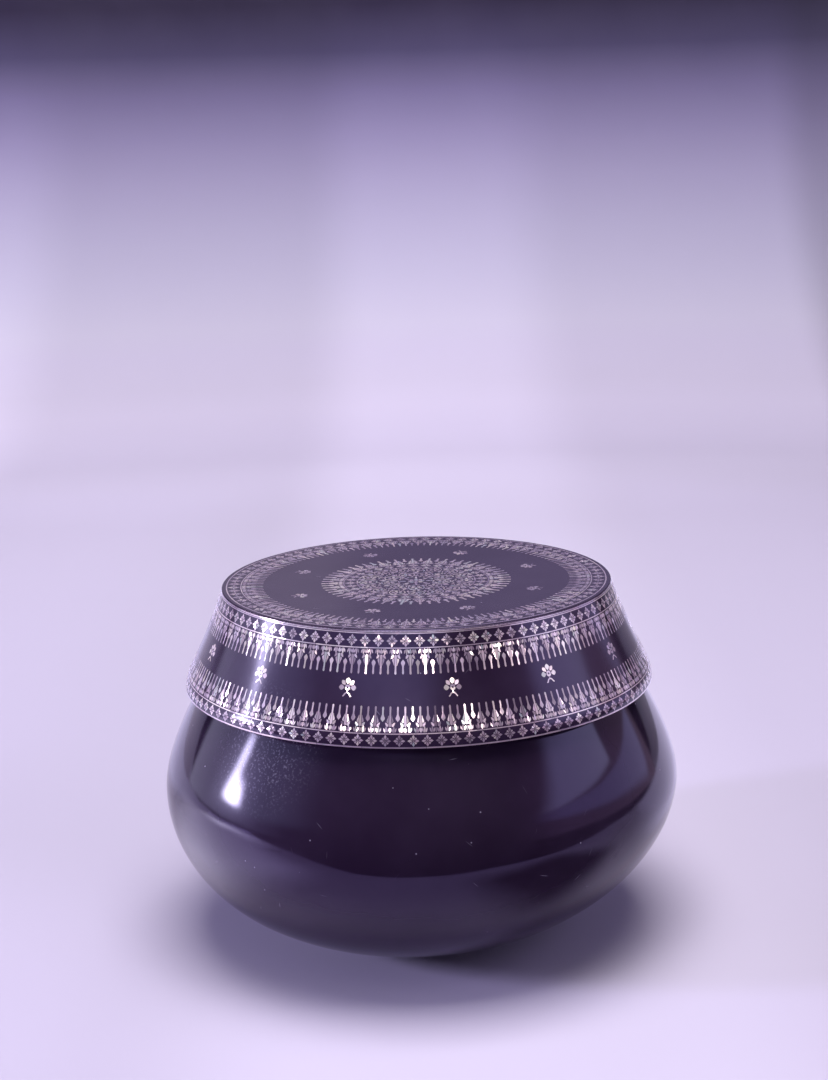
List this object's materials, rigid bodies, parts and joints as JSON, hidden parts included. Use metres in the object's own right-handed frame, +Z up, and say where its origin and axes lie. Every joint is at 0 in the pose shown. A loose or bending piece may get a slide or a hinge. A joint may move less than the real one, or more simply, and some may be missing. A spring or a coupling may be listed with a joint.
{
  "type": "lacquered alms bowl with lid",
  "caption": "Round black lacquer alms bowl with a tall tapered lift-off lid inlaid with bands of mother-of-pearl.",
  "frame": {"origin": "centre of the bowl's flat foot, on the surface the bowl stands on", "axes": "+Z up along the bowl's turning axis, -Y towards the side that faces the viewer"},
  "size_m": [0.26, 0.26, 0.181],
  "materials": {
    "bowl_lacquer": "thick polished black lacquer over beaten iron, deep gloss with fine scratches",
    "mouth_iron": "fired black iron band, satin",
    "lid_lacquer": "polished black lacquer over turned wood, deep gloss",
    "hoop_wood": "satin black lacquer over wood",
    "pearl": "ground and polished mother-of-pearl, shimmering pink, grey and pale green"
  },
  "bodies": {
    "bowl": {"bowl_shell": "bowl_lacquer", "mouth_band": "mouth_iron"},
    "lid": {"lid_wall": "lid_lacquer", "lid_top_board": "lid_lacquer", "lid_rim_hoop": "hoop_wood", "rim_line": "pearl", "upper_edge_line": "pearl", "top_edge_line": "pearl", "medallion_line": "pearl", "lower_diamond_band": "pearl", "upper_diamond_band": "pearl", "top_diamond_band": "pearl", "medallion_diamond_band": "pearl", "lower_flame_border": "pearl", "upper_flame_border": "pearl", "top_flame_border": "pearl", "medallion_flames": "pearl", "medallion_petals": "pearl", "medallion_rosette": "pearl", "side_flower_1": "pearl", "side_flower_2": "pearl", "side_flower_3": "pearl", "side_flower_4": "pearl", "side_flower_5": "pearl", "side_flower_6": "pearl", "side_flower_7": "pearl", "side_flower_8": "pearl", "side_flower_9": "pearl", "side_flower_10": "pearl", "side_flower_11": "pearl", "side_flower_12": "pearl", "side_flower_13": "pearl", "side_flower_14": "pearl", "top_flower_1": "pearl", "top_flower_2": "pearl", "top_flower_3": "pearl", "top_flower_4": "pearl", "top_flower_5": "pearl", "top_flower_6": "pearl", "top_flower_7": "pearl", "top_flower_8": "pearl"}
  },
  "joints": [
    {"name": "lid_lift", "type": "slide", "parent": "bowl", "child": "lid", "axis": [0, 0, 1], "range_m": [0, 0.12]}
  ]
}
